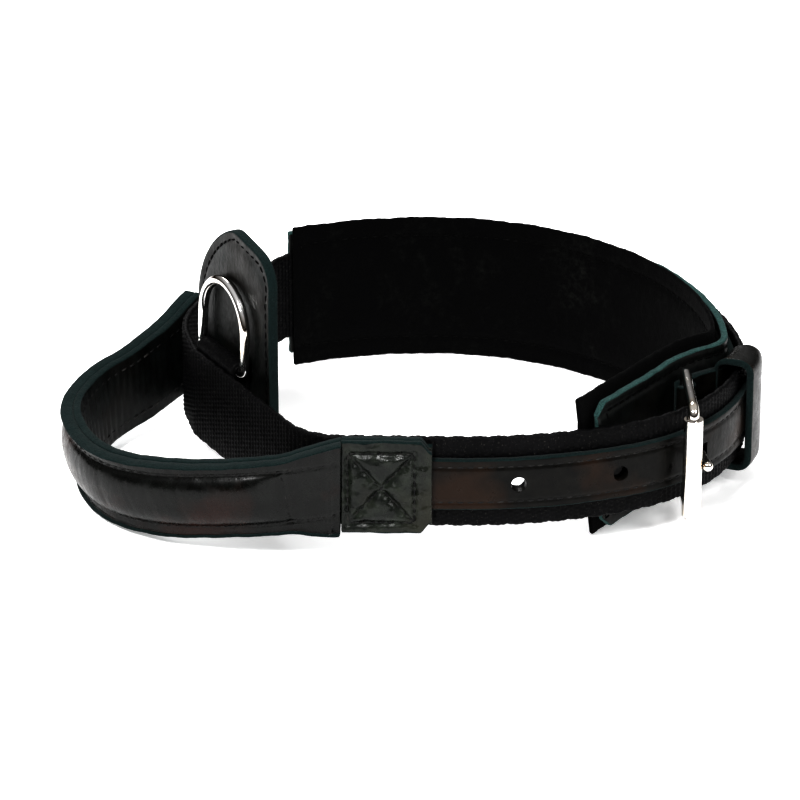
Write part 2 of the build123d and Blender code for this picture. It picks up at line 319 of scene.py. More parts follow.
def plate_data(outline, plane, low, high, depth_of, corner=0.7, rings=14):
    """A flat leather plate with rounded rims, from a star-shaped outline about its middle."""
    frame_x, frame_y, frame_z, origin = plane
    centre, _, _, slope = star(outline)
    insets = [corner * (1 - sin(a)) for a in np.linspace(pi / 2, 0, 5)]
    rim = inset_outline(outline, corner)
    points, faces, slots = [], [], []
    n = len(outline)
    starts = []
    for sign, level, kind in ((1, high, FACE), (-1, low, BACK)):
        loops = []
        for inset in insets:
            drop = corner - sqrt(max(corner**2 - (corner - inset) ** 2, 0))
            loops.append((inset_outline(outline, inset), level - sign * drop, np.full(n, inset)))
        for share in np.linspace(0, 1, rings)[1:-1]:
            inner = rim + (centre - rim) * share**1.3
            loops.append((inner, level, norm(rim - inner, axis=1) / slope + corner))
        first = len(points)
        starts.append(first)
        for loop, height, depths in loops:
            for (u, v), depth in zip(loop, depths):
                lift = height + (depth_of(u, v, depth) if sign > 0 else 0)
                points.append(origin + frame_x * u + frame_y * v + frame_z * lift)
        points.append(origin + frame_x * centre[0] + frame_y * centre[1] + frame_z * level)
        for k in range(len(loops)):
            for i in range(n):
                here, after = first + k * n + i, first + k * n + (i + 1) % n
                last = k == len(loops) - 1
                face = [here, after, first + len(loops) * n] if last else [here, after, after + n, here + n]
                faces.append(face[::sign])
                slots.append(EDGE if k < len(insets) - 1 else kind)
    for i in range(n):
        j = (i + 1) % n
        faces.append([starts[0] + j, starts[0] + i, starts[1] + i, starts[1] + j])
        slots.append(EDGE)
    return np.array(points), faces, slots


def stitch_run(points, normals, pitch=3.4, length=2.5, radius=0.33, sink=0.1, lean=6.0):
    """Single sewn stitches along a polyline: short waisted threads that dive in at both ends."""
    points, normals = np.asarray(points, float), np.asarray(normals, float)
    gaps = norm(np.diff(points, axis=0), axis=1)
    along = np.concatenate([[0], np.cumsum(gaps)])
    total = along[-1]
    count = max(1, round(total / pitch))
    spacing = total / count
    all_points, all_faces = [], []

    def sample(values, place):
        return np.array([np.interp(place, along, values[:, c]) for c in range(3)])

    profile = [(-0.5, -1.3, 0.55), (-0.42, -0.1, 0.9), (-0.2, 0.28, 1.0), (0.0, 0.36, 1.0),
               (0.2, 0.28, 1.0), (0.42, -0.1, 0.9), (0.5, -1.3, 0.55)]
    sides = 7
    for k in range(count):
        middle = (k + 0.5) * spacing
        here, out = sample(points, middle), sample(normals, middle)
        out /= norm(out)
        go = sample(points, min(middle + 0.6, total)) - sample(points, max(middle - 0.6, 0))
        go /= norm(go)
        across = np.cross(out, go)
        tilt = radians(lean + rng.uniform(-3, 3))
        go, across = go * cos(tilt) + across * sin(tilt), across * cos(tilt) - go * sin(tilt)
        size = length * rng.uniform(0.92, 1.06)
        start = len(all_points)
        for run, lift, thick in profile:
            spot = here + go * run * size + out * (lift * radius - sink)
            for c in range(sides):
                a = 2 * pi * c / sides
                all_points.append(spot + (across * cos(a) + out * sin(a)) * radius * thick)
        rings = len(profile)
        for r in range(rings - 1):
            for c in range(sides):
                d = (c + 1) % sides
                base, nxt = start + r * sides, start + (r + 1) * sides
                all_faces.append([base + c, base + d, nxt + d, nxt + c])
        all_faces.append([start + c for c in range(sides)][::-1])
        all_faces.append([start + (rings - 1) * sides + c for c in range(sides)])
    return np.array(all_points), all_faces, [0] * len(all_faces)


def row_on(line, first, last, offset, height, place=upright, step=1.0, sign=1):
    """Points and outward normals of a sewing row on a strap's face."""
    rows = stretch(line, first, last, step)
    heights = height(rows[:, 0]) if callable(height) else np.full(len(rows), float(height))
    offsets = offset(rows[:, 0]) if callable(offset) else offset

    def lift(extra):
        x = rows[:, 1] + np.sin(rows[:, 3]) * (offsets + extra)
        y = rows[:, 2] - np.cos(rows[:, 3]) * (offsets + extra)
        return place(x, y, heights)

    points = lift(0.0)
    return points, (lift(1.0) - points) * sign


# ---- materials

def nodes_of(name):
    """A new material with its node tree and its shader."""
    material = bpy.data.materials.new(name)
    material.use_nodes = True
    tree = material.node_tree
    return material, tree, tree.nodes["Principled BSDF"]


def wire_up(tree, shader, settings):
    """Sets a shader's sockets, each to a constant or to another node's output."""
    for socket, value in settings.items():
        if isinstance(value, (float, tuple)):
            shader.inputs[socket].default_value = value
        else:
            tree.links.new(value, shader.inputs[socket])


def place_of(tree):
    """The object's own coordinates."""
    return tree.nodes.new("ShaderNodeTexCoord").outputs["Object"]


def noise(tree, where, scale, detail=4.0, roughness=0.55, stretch=None):
    """Noise of scale cells to the metre."""
    if stretch is not None:
        mapping = tree.nodes.new("ShaderNodeMapping")
        mapping.inputs["Scale"].default_value = stretch
        tree.links.new(where, mapping.inputs["Vector"])
        where = mapping.outputs["Vector"]
    node = tree.nodes.new("ShaderNodeTexNoise")
    node.inputs["Scale"].default_value = scale
    node.inputs["Detail"].default_value = detail
    node.inputs["Roughness"].default_value = roughness
    tree.links.new(where, node.inputs["Vector"])
    return node.outputs["Fac"]


def cells(tree, where, scale, feature="F1"):
    """Voronoi distance of scale cells to the metre."""
    node = tree.nodes.new("ShaderNodeTexVoronoi")
    node.feature = feature
    node.inputs["Scale"].default_value = scale
    tree.links.new(where, node.inputs["Vector"])
    return node.outputs["Distance"]


def ramp(tree, value, *stops):
    """A colour ramp with (place, colour) stops."""
    node = tree.nodes.new("ShaderNodeValToRGB")
    elements = node.color_ramp.elements
    while len(elements) < len(stops):
        elements.new(0.5)
    for element, (place, colour) in zip(elements, stops):
        element.position = place
        element.color = (*colour, 1.0) if len(colour) == 3 else colour
    tree.links.new(value, node.inputs["Fac"])
    return node.outputs["Color"]


def grey(tree, value, low, high, dark=0.0, light=1.0):
    """A ramp from dark to light between two values."""
    return ramp(tree, value, (low, (dark,) * 3), (high, (light,) * 3))


def blend_colour(tree, share, first, second, kind="MIX"):
    """Mixes two colours, each a socket or a tuple, by a share."""
    node = tree.nodes.new("ShaderNodeMix")
    node.data_type = "RGBA"
    node.blend_type = kind
    sockets = [s for s in node.inputs if s.type == "RGBA"]
    factor = [s for s in node.inputs if s.type == "VALUE"][0]
    for socket, value in zip(sockets, (first, second)):
        if isinstance(value, tuple):
            socket.default_value = (*value, 1.0)
        else:
            tree.links.new(value, socket)
    if isinstance(share, float):
        factor.default_value = share
    else:
        tree.links.new(share, factor)
    return [s for s in node.outputs if s.type == "RGBA"][0]


def bump(tree, height, distance, strength=1.0, under=None):
    """A bump of the given height in millimetres, over another one if given."""
    node = tree.nodes.new("ShaderNodeBump")
    node.inputs["Distance"].default_value = distance * MM
    node.inputs["Strength"].default_value = strength
    tree.links.new(height, node.inputs["Height"])
    if under is not None:
        tree.links.new(under, node.inputs["Normal"])
    return node.outputs["Normal"]


def leather(name, base, light, tint, rough, grain=700.0, grain_height=0.05, crease=0.06,
            tint_share=0.6, gloss=0.26):
    """Smooth or pebbled black leather: grain, creases, rubbed lighter patches, and browner patches that are
    partly worn dye and partly a painted brown sheen.
    """
    material, tree, shader = nodes_of(name)
    where = place_of(tree)
    patches = noise(tree, where, 38.0, 3.0)
    rubbed = noise(tree, where, 170.0, 5.0, 0.65)
    colour = blend_colour(tree, grey(tree, rubbed, 0.42, 0.72), base, light)
    # browner patches in the tint colour: partly worn dye, partly a painted reddish-brown sheen
    worn = grey(tree, patches, 0.5, 0.66, 0.0, tint_share)
    colour = blend_colour(tree, worn, colour, tint)
    pebble = cells(tree, where, grain, "SMOOTH_F1")
    pores = cells(tree, where, grain * 2.7)
    folds = noise(tree, where, 120.0, 6.0, 0.6, (1.0, 1.0, 0.35))
    normal = bump(tree, folds, crease * 8)
    normal = bump(tree, pebble, grain_height, 1.0, normal)
    normal = bump(tree, pores, grain_height * 0.35, 0.8, normal)
    wear = noise(tree, where, 260.0, 5.0, 0.7)
    wire_up(tree, shader, {
        "Base Color": colour,
        "Normal": normal,
        "Roughness": grey(tree, wear, 0.3, 0.75, rough - 0.08, rough + 0.16),
        "Specular IOR Level": gloss,
    })
    return material


def raw_edge(name, dark, light):
    """The cut side of dyed leather: fibrous, matt and a little green."""
    material, tree, shader = nodes_of(name)
    where = place_of(tree)
    fibres = noise(tree, where, 1500.0, 5.0, 0.7, (1.0, 1.0, 2.2))
    blots = noise(tree, where, 240.0, 3.0)
    colour = blend_colour(tree, grey(tree, fibres, 0.36, 0.68), dark, light)
    colour = blend_colour(tree, grey(tree, blots, 0.5, 0.8, 0.0, 0.6), colour, dark)
    wire_up(tree, shader, {
        "Base Color": colour,
        "Normal": bump(tree, fibres, 0.25),
        "Roughness": 0.86,
        "Specular IOR Level": 0.15,
        "Sheen Weight": 0.06,
        "Sheen Roughness": 0.5,
    })
    return material


def suede(name, dark, light, sheen):
    """Napped lining: fine fibres with faint brushed patches."""
    material, tree, shader = nodes_of(name)
    where = place_of(tree)
    fibres = noise(tree, where, 2600.0, 4.0, 0.75)
    brushed = noise(tree, where, 60.0, 5.0, 0.62, (1.0, 1.0, 0.6))
    tufts = noise(tree, where, 420.0, 4.0, 0.7)
    nap = blend_colour(tree, grey(tree, tufts, 0.45, 0.7), dark, light)
    colour = blend_colour(tree, grey(tree, brushed, 0.5, 0.7), dark, nap)
    wire_up(tree, shader, {
        "Base Color": colour,
        "Normal": bump(tree, fibres, 0.2, 1.0, bump(tree, tufts, 0.25)),
        "Roughness": 0.95,
        "Specular IOR Level": 0.06,
        "Sheen Weight": sheen,
        "Sheen Roughness": 0.45,
    })
    return material


def nylon(name, yarn_dark, yarn_faded, dust):
    """Black nylon yarn with a dull shine and pale flecks of dust."""
    material, tree, shader = nodes_of(name)
    where = place_of(tree)
    yarn = noise(tree, where, 3200.0, 3.0, 0.6, (1.0, 1.0, 0.3))
    flecks = noise(tree, where, 1900.0, 2.0, 0.5)
    faded = noise(tree, where, 90.0, 4.0)
    colour = blend_colour(tree, grey(tree, faded, 0.42, 0.7), yarn_dark, yarn_faded)
    colour = blend_colour(tree, grey(tree, flecks, 0.66, 0.72, 0.0, 0.5), colour, dust)
    wire_up(tree, shader, {
        "Base Color": colour,
        "Normal": bump(tree, yarn, 0.12),
        "Roughness": grey(tree, yarn, 0.3, 0.8, 0.40, 0.7),
        "Specular IOR Level": 0.14,
    })
    return material


def waxed_thread(name, dark, light, gloss=0.4):
    """Twisted thread with lighter worn flecks."""
    material, tree, shader = nodes_of(name)
    where = place_of(tree)
    twist = noise(tree, where, 2400.0, 3.0, 0.6)
    worn = noise(tree, where, 330.0, 3.0)
    colour = blend_colour(tree, grey(tree, worn, 0.52, 0.72), dark, light)
    wire_up(tree, shader, {
        "Base Color": colour,
        "Normal": bump(tree, twist, 0.12),
        "Roughness": 0.55,
        "Specular IOR Level": gloss,
    })
    return material


def polished(name, colour, rough):
    """Plated steel with faint handling marks, and warm patches painted into its colour as brown
    reflections.
    """
    material, tree, shader = nodes_of(name)
    where = place_of(tree)
    marks = noise(tree, where, 420.0, 6.0, 0.7, (1.0, 1.0, 0.25))
    brown_reflection_mask = noise(tree, where, 90.0, 3.0)
    # painted reflection: warm brown patches in the plating's colour stand in for brown reflections
    painted_reflection_colour = blend_colour(tree, grey(tree, brown_reflection_mask, 0.5, 0.75, 0.0, 0.6), colour, (0.80, 0.66, 0.48))
    wire_up(tree, shader, {
        "Base Color": painted_reflection_colour,
        "Roughness": grey(tree, marks, 0.35, 0.8, rough, rough + 0.14),
        "Normal": bump(tree, marks, 0.012),
        "Metallic": 1.0,
    })
    return material


# The third colour of each leather paints its browner patches: partly worn dye and partly painted brown
# sheen, most of all the handle's reddish brown and the keeper's warm brown, which stands in for a
# reflection.
black_grain = leather("grain_leather", (0.0035, 0.0040, 0.0038), (0.010, 0.013, 0.012),
                      (0.010, 0.008, 0.006), 0.36)
black_handle = leather("handle_leather", (0.0022, 0.0024, 0.0020), (0.006, 0.007, 0.006),
                       (0.022, 0.006, 0.003), 0.25, 500.0, 0.02, 0.04, 0.75, 0.34)
black_billet = leather("billet_leather", (0.0028, 0.0026, 0.0021), (0.008, 0.0075, 0.006),
                       (0.026, 0.013, 0.007), 0.31, 900.0, 0.03, 0.04, 0.85, 0.20)
black_patch = leather("patch_leather", (0.006, 0.008, 0.006), (0.026, 0.032, 0.023),
                      (0.024, 0.023, 0.013), 0.30, 620.0, 0.13, 0.08, 0.6, 0.36)
black_keeper = leather("keeper_leather", (0.007, 0.007, 0.0065), (0.016, 0.017, 0.016),
                       (0.050, 0.030, 0.014), 0.28, 800.0, 0.03, 0.04, 0.7, 0.34)
flesh_side = leather("flesh_side", (0.005, 0.005, 0.005), (0.017, 0.019, 0.018),
                     (0.028, 0.027, 0.024), 0.46, 420.0, 0.05, 0.10)
cut_edge = raw_edge("raw_cut_edge", (0.004, 0.012, 0.012), (0.013, 0.029, 0.028))
cut_edge_pale = raw_edge("raw_cut_edge_pale", (0.016, 0.042, 0.040), (0.060, 0.130, 0.122))
black_suede = suede("suede_lining", (0.0022, 0.0022, 0.0024), (0.016, 0.017, 0.015), 0.03)
felt = suede("felt_padding", (0.006, 0.006, 0.006), (0.02, 0.02, 0.02), 0.05)
black_nylon = nylon("nylon_webbing", (0.0014, 0.0014, 0.0018), (0.0045, 0.0043, 0.005),
                    (0.10, 0.095, 0.085))
black_thread = waxed_thread("lining_thread", (0.001, 0.001, 0.001), (0.006, 0.006, 0.006), 0.08)
seam_thread = waxed_thread("thread", (0.0015, 0.0015, 0.0015), (0.040, 0.038, 0.034))
ring_chrome = polished("ring_chrome", (0.86, 0.85, 0.84), 0.05)
buckle_chrome = polished("buckle_chrome", (0.80, 0.78, 0.76), 0.06)


# ---- the lines that pieces follow

fine = 0.25
panel_line = trace((49.9, -65.3), 53.7, panel_route, fine)
panel_end = panel_line[-1, 0]
pocket_offset = lining + webbing
pocket_place = at(panel_line, panel_end - reach(panel_route[-1:], 1))
pocket_start = beside(pocket_place, pocket_offset)
strap_route = [(panel_route[-1][0] + pocket_offset, panel_route[-1][1])] + webbing_route
strap_line = trace(pocket_start, degrees(pocket_place[3]), strap_route, fine)
strap_end = strap_line[-1, 0]
rear_edge = at(strap_line, reach(strap_route, 3))
front_edge = at(strap_line, reach(strap_route, 8))
ring_stop = at(strap_line, reach(strap_route, 6) + ring_place)
hinge_stop = at(panel_line, reach(panel_route, 2))
hinge_offset = panel_total + hinge_wrap
hinge = np.array([*beside(hinge_stop, hinge_offset), mid_height])


rib = 1.9
scallop = 6.3


def weave(s, z, side):
    """Ribbed weave: raised ribs across the strap, each a row of yarn humps, staggered."""
    hump = 1.5
    row = np.floor(s / rib)
    ribs = np.sin(pi * (s / rib - row)) ** 0.8
    humps = np.abs(np.sin(pi * (z / hump + 0.5 * (row % 2)))) ** 0.8
    loose = 0.06 * wander(row * 1.7 + z * 0.9, 1.1, 2)
    return side * (0.52 * ribs * (0.3 + 0.7 * humps) - 0.34 + loose)


def selvedge(s, sign):
    """Scalloped woven edges: small turns of yarn on longer waves."""
    turns = 0.20 * np.abs(np.sin(pi * s / rib))
    waves = 0.42 * np.abs(np.sin(pi * s / scallop + 0.4 * wander(s, 30.0, 5))) ** 0.8
    return sign * (turns + waves - 0.36)


# ---- cutters for the strap's holes

def prism(ring, direction):
    """Points and faces of a ring pushed along a direction."""
    ring = np.asarray(ring)
    n = len(ring)
    points = np.concatenate([ring, ring + direction])
    faces = [[i, (i + 1) % n, n + (i + 1) % n, n + i] for i in range(n)]
    faces += [list(range(n))[::-1], list(range(n, 2 * n))]
    return points, faces


def cut(piece, tools):
    """Cuts the tools out of a piece and removes them."""
    for tool in tools:
        change = piece.modifiers.new("cut", "BOOLEAN")
        change.operation = "DIFFERENCE"
        change.solver = "EXACT"
        change.object = tool
    depsgraph = bpy.context.evaluated_depsgraph_get()
    mesh = bpy.data.meshes.new_from_object(piece.evaluated_get(depsgraph))
    piece.modifiers.clear()
    old = piece.data
    piece.data = mesh
    bpy.data.meshes.remove(old)
    for tool in tools:
        bpy.data.objects.remove(tool)


def hole_tools():
    """Round holes through the strap, and the slot that the tongue has drawn out."""
    tools = []
    first = reach(strap_route, 9) + first_hole_place
    for count in (0, 1, 3, 4):
        _, x, y, angle = at(strap_line, first + hole_spacing * count)
        out, go = outward(angle), onward(angle)
        middle = np.array([x, y, mid_height]) - out * hole_depth / 2
        ring = [middle + (go * cos(a) + up * sin(a)) * hole_radius
                for a in np.linspace(0, 2 * pi, 28, endpoint=False)]
        tools.append(show("cutter", mesh_of("cutter", *prism(ring, out * hole_depth))))
    room = tongue_radius + slot_clearance
    offset = roller_radius + tongue_radius + tongue_rest_gap
    closed = radians(frame_heading) + np.arcsin(offset / frame_reach)
    swung = closed + radians(tongue_swing)
    near, far = 8.0, 30.0

    def corner(angle, distance, aside):
        return hinge + onward(angle) * distance + outward(angle) * aside - up * room

    ring = [corner(closed, near, room), corner(closed, far, room),
            corner(swung, far, -room), corner(swung, near, -room)]
    tools.append(show("cutter", mesh_of("cutter", *prism(ring, up * 2 * room))))
    return tools


# ---- wide panel

flange = 4.5
chamfer = 3.5
end_slant = 30.0
panel_span = leather_width / 2 - stitch_inset


def oblique(start, middle, slope):
    """Slides a strap's first stretch along itself, further at the top, for a slanting end."""
    return lambda s, z: (middle - slope * (z - mid_height)) * (1 - rise(s, start, start + end_slant))


def lining_relief(s, z, side):
    """The lining swells softly between its sewing rows and ripples a little."""
    inside = 1 - rise(np.abs(z), panel_span - 6, panel_span)
    ripple = 0.5 * wander(s + z * 0.3, 9.0, 11) * inside
    sewn = dimple(np.abs(z) - panel_span, 1.1) * 0.45
    fuzz = 0.10 * wander(s * 1.7 + z * 2.3, 0.9, 12) * np.sin(z * 1.9 + 1.3 * wander(s, 1.4, 13))
    return (side < 0) * (-0.55 * inside - 0.3 * ripple + sewn + fuzz)


def lining_edge(s, sign):
    return -sign * (0.2 + 0.2 * wander(s, 3.1, 21 + sign.flat[0]) + 0.12 * wander(s, 0.8, 25))


lining_piece = make(
    "lining_suede",
    *strap_data(stretch(panel_line, 0, panel_end, 0.9), (0, lining),
                0.0, panel_width, lining_relief, lining_edge,
                across=64, corner=0.6, shear=oblique(0.0, 2.6, 0.19)),
    [black_suede] * 3, record_slot="suede_lining")
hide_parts("panel_lining")


def leather_edge(s, sign):
    return sign * (0.22 * wander(s, 6.0, 31) + 0.1 * wander(s, 1.3, 32))


def panel_relief(s, z, side):
    """The outer leather: pulled down at its sewing rows, swollen between them by the padding."""
    sewn = dimple(np.abs(z) - panel_span, 0.9) * 0.5
    swell = 0.35 * (1 - rise(np.abs(z), panel_span - 7, panel_span))
    crease = 0.22 * dimple(wander(s + 0.25 * z, 7.0, 41), 0.16) * rise(s, 40, 60)
    return (side > 0) * (swell - sewn - crease + 0.12 * wander(s + 0.6 * z, 11.0, 42))


def panel_low(s):
    return (panel_width - leather_width) / 2 + np.clip(chamfer + flange - s, 0, chamfer)


def panel_high(s):
    return panel_width - panel_low(s)


panel_piece = make(
    "panel_outer_leather",
    *strap_data(stretch(panel_line, flange, panel_end, 0.8), (lining + padding, panel_total),
                panel_low, panel_high, panel_relief, leather_edge, across=56, corner=0.5,
                shear=oblique(flange, 0.7, 0.11)),
    [black_grain, cut_edge_pale, flesh_side], record_slot="grain_leather")
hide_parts("panel_leather")

padding_end = reach(panel_route, 9)
padding_inset = 6.2
felt_piece = make(
    "panel_felt",
    *strap_data(stretch(panel_line, flange + 7, padding_end, 1.6),
                (lining + 0.02, lining + padding - 0.02),
                padding_inset, panel_width - padding_inset, None,
                lambda s, sign: sign * 0.3 * wander(s, 2.4, 51), across=20, corner=0.8),
    [felt] * 3, record_slot="felt_padding")
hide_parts("panel_padding")

panel_rows = []
row_start, row_end = flange + 3.4, panel_end - 3
thread_sink = 0.42
for sign in (-1, 1):
    height = mid_height + sign * panel_span
    for offset, facing in ((panel_total - thread_sink, 1), (thread_sink, -1)):
        panel_rows.append(stitch_run(*row_on(panel_line, row_start, row_end, offset, height, sign=facing)))
for place in (row_start, row_end):
    _, x, y, angle = at(panel_line, place)
    out = outward(angle)
    for offset, sign in ((panel_total - 0.1, 1), (0.1, -1)):
        spot = np.array([x, y, mid_height]) + out * offset
        ends = [spot - up * panel_span, spot + up * panel_span]
        panel_rows.append(stitch_run(ends, [out * sign] * 2))
panel_sewing = sew("panel_stitches", panel_rows, black_thread)
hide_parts("panel_stitching")


# ---- webbing and billet

webbing_piece = make(
    "webbing_weave",
    *strap_data(stretch(strap_line, 0, strap_end, 0.45), (-webbing, 0.0),
                mid_height - webbing_width / 2, mid_height + webbing_width / 2,
                weave, selvedge, across=74, corner=0.9, round_steps=4),
    [black_nylon] * 3, record_slot="nylon_webbing")
cut(webbing_piece, hole_tools())
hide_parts("webbing_strap")

billet_start = reach(strap_route, 8) + patch_length - 3
billet_span = billet_width / 2 - 2.6


def billet_relief(s, z, side):
    sewn = dimple(np.abs(z) - billet_span, 0.7) * 0.38
    swell = 0.25 * (1 - (z / (billet_width / 2)) ** 2)
    return (side > 0) * (swell - sewn + 0.08 * wander(s + z, 8.0, 61))


billet_piece = make(
    "billet_strap",
    *strap_data(stretch(strap_line, billet_start, strap_end, 0.6), (0.02, billet),
                mid_height - billet_width / 2, mid_height + billet_width / 2,
                billet_relief,
                lambda s, sign: sign * (0.12 * wander(s, 7.0, 62) + 0.06 * wander(s, 1.2, 63)),
                across=32, corner=0.45),
    [black_billet, cut_edge, flesh_side], record_slot="billet_leather")
cut(billet_piece, hole_tools())
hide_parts("billet_leather")

billet_rows = [
    stitch_run(*row_on(strap_line, billet_start + 4, strap_end - 2.4, billet - 0.3,
                       mid_height + sign * billet_span), pitch=3.1, length=2.35, radius=0.3)
    for sign in (-1, 1)
]
billet_sewing = sew("billet_stitches", billet_rows, seam_thread)
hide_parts("billet_stitching")


# ---- grab handle

rear_point = Vector((rear_edge[1], rear_edge[2], mid_height))
front_point = Vector((front_edge[1], front_edge[2], mid_height))
tilt = Matrix.Rotation(radians(handle_tilt), 3, (front_point - rear_point).normalized())
tilt_array = np.array(tilt)
loop_origin = np.array(rear_point + tilt @ (Vector((0, 0, mid_height)) - rear_point))


def tilted(x, y, z):
    """Loop coordinates, with z from the loop's middle, as points."""
    flat_points = np.stack([x, y, z], axis=-1)
    return flat_points @ tilt_array.T + loop_origin


handle_line = trace((rear_edge[1], rear_edge[2]), degrees(rear_edge[3]), handle_route, fine)
handle_end = handle_line[-1, 0]
half_handle = handle_width / 2
handle_span = half_handle - stitch_inset
quilt_margin = 17.0
quilt_start, quilt_end = quilt_margin, handle_end - quilt_margin
rise_length = 14.0
overrun = 4.0
flat_share = 0.9
lip_share = 0.75


def quilted(s):
    """1 where the handle is padded, 0 at its flat ends."""
    return rise(s, quilt_start - overrun, quilt_start + rise_length) * (
        1 - rise(s, quilt_end - rise_length, quilt_end + overrun))


def handle_outer_relief(s, z, side):
    """Domed over the felt, pressed down at its sewing, flat and ridged next to the patches."""
    pressed = np.clip(np.abs(z) / handle_span, 0, 1) ** 2.6
    dome = (1 - pressed) * 1.7 * quilted(s)
    flat_loss = handle_padding * (1 - quilted(s)) * flat_share
    lips = handle_padding * lip_share * quilted(s) * pressed
    sewn = dimple(np.abs(z) - handle_span, 0.75) * 0.45 * rise(s, 2, 6)
    marks = sum(dimple(s - mark, 0.8) for mark in (quilt_start, quilt_end))
    cross = marks * 0.6 * (np.abs(z) < handle_span)
    ridge = 0.7 * dimple(s - (handle_end - 3.6), 0.55) - 0.5 * dimple(s - (handle_end - 1.9), 0.6)
    wrinkle = 0.12 * dimple(wander(s + 0.2 * z, 4.0, 71), 0.2) * quilted(s)
    return (side > 0) * (dome - flat_loss - lips - sewn - cross + ridge - wrinkle)


def handle_inner_relief(s, z, side):
    """The inner leather crumples into short slanting folds where the loop bends hard."""
    tight = dimple(s - 62, 26)
    folds = 0.32 * tight * np.sin(s * 2.3 + 0.5 * z + 0.8 * wander(s, 3.0, 72))
    return (side < 0) * (0.22 * wander(s + 0.3 * z, 6.0, 73) + folds * (1 - (z / 13.0) ** 2))


def handle_wobble(s, sign):
    return sign * (0.2 * wander(s, 8.0, 74) + 0.1 * wander(s, 1.5, 75))


flare = (patch_height - handle_width) / 2
flare_length = 20.0


def handle_high(s):
    """The handle's half width, which grows to the patch's at both ends."""
    ends = (1 - rise(s, 0, flare_length)) + rise(s, handle_end - flare_length, handle_end)
    return half_handle + flare * ends


def handle_low(s):
    return -handle_high(s)


def upright_end(s, z):
    """Turns the leaning handle's front end back in line with the upright patch."""
    return tan(radians(handle_tilt)) * z * rise(s, handle_end - flare_length, handle_end)


patch_stops = {"rear": at(strap_line, reach(strap_route, 3) - patch_length), "front": front_edge}
tail_margin = 0.3
tails = [
    strap_data(straight(stop, tail_margin, patch_length - tail_margin, 30), (0.15, handle_leather - 0.05),
               mid_height - half_handle, mid_height + half_handle, across=16, corner=0.4)
    for stop in patch_stops.values()
]
handle_stretch = stretch(handle_line, 0.2, handle_end - 0.2, 0.7)
inner_piece = make(
    "handle_inner",
    *joined(
        strap_data(handle_stretch, (0.0, handle_leather + 0.05),
                   handle_low, handle_high, handle_inner_relief, handle_wobble,
                   across=34, corner=0.5, place=tilted, shear=upright_end),
        *tails),
    [flesh_side, cut_edge, black_grain], record_slot="handle_leather")
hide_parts("handle_inner_leather")

outer_piece = make(
    "handle_outer",
    *strap_data(handle_stretch, (handle_leather, handle_total),
                handle_low, handle_high, handle_outer_relief, handle_wobble,
                across=44, corner=0.6, place=tilted, shear=upright_end),
    [black_handle, cut_edge, flesh_side], record_slot="handle_leather")
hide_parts("handle_outer_leather")

half_core = 7.5
core_piece = make(
    "handle_felt",
    *strap_data(stretch(handle_line, quilt_start, quilt_end, 1.5),
                (handle_leather - 0.1, handle_leather + 1.2), -half_core, half_core,
                across=14, corner=0.6, place=tilted),
    [felt] * 3, record_slot="felt_padding")
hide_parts("handle_padding")

handle_rows = []


def sewn_level(s):
    """How far out the outer leather's sewing rows lie."""
    return handle_total - 0.5 - handle_padding * (
        flat_share * (1 - quilted(s)) + lip_share * quilted(s))


for sign in (-1, 1):
    for level, facing in ((sewn_level, 1), (0.05, -1)):
        handle_rows.append(stitch_run(
            *row_on(handle_line, 3, handle_end - 3, level, sign * handle_span, tilted, sign=facing),
            pitch=3.3, lean=7))
for mark in (quilt_start, quilt_end):
    stop = at(handle_line, mark)
    foot = beside(stop, sewn_level(mark) + 0.1)
    ends = [tilted(*foot, height) for height in (1 - handle_span, handle_span - 1)]
    out = tilt_array @ outward(stop[3])
    handle_rows.append(stitch_run(ends, [out, out], pitch=3.0, length=2.2, radius=0.28))
handle_sewing = sew("handle_stitches", handle_rows, seam_thread)
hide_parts("handle_stitching")


# ---- patches with their box and cross

box_middle = (12.2, -0.5)
box_long = 10.2
box_high = 11.6
far_away = 99.0
patch_chamfer = 3.5


def patch_relief(s, z, side):
    """Four pillows between the sewn box and its diagonals."""
    u, v = s - box_middle[0], z - box_middle[1]
    inside = (np.abs(u) < box_long) & (np.abs(v) < box_high)
    cross = np.minimum(np.abs(u * box_high - v * box_long), np.abs(u * box_high + v * box_long))
    cross = cross / hypot(box_long, box_high)
    beyond_u, beyond_v = np.abs(u) > box_long + 1, np.abs(v) > box_high + 1
    box = np.minimum(np.where(beyond_v, far_away, np.abs(np.abs(u) - box_long)),
                     np.where(beyond_u, far_away, np.abs(np.abs(v) - box_high)))
    sewn = 0.95 * np.maximum(dimple(box, 1.0), dimple(cross, 1.0) * inside)
    pillow = 0.9 * np.clip(np.minimum(cross, box) / 4.0, 0, 1) ** 0.6 * inside
    crumple = 0.60 * wander(s * 1.1 + z * 0.7, 2.3, 81) * wander(z - s * 0.4, 2.9, 82)
    dent = 0.45 * wander(s * 0.8 - z * 1.3, 1.6, 84) * wander(z * 1.2 + s * 0.6, 1.9, 85)
    return (side > 0) * (pillow - sewn + crumple + dent)


def patch_low(s):
    cut_back = rise(s, patch_length - patch_chamfer - 0.1, patch_length) ** 0.75
    return (panel_width - patch_height) / 2 + patch_chamfer * cut_back


def patch_high(s):
    return panel_width - patch_low(s)


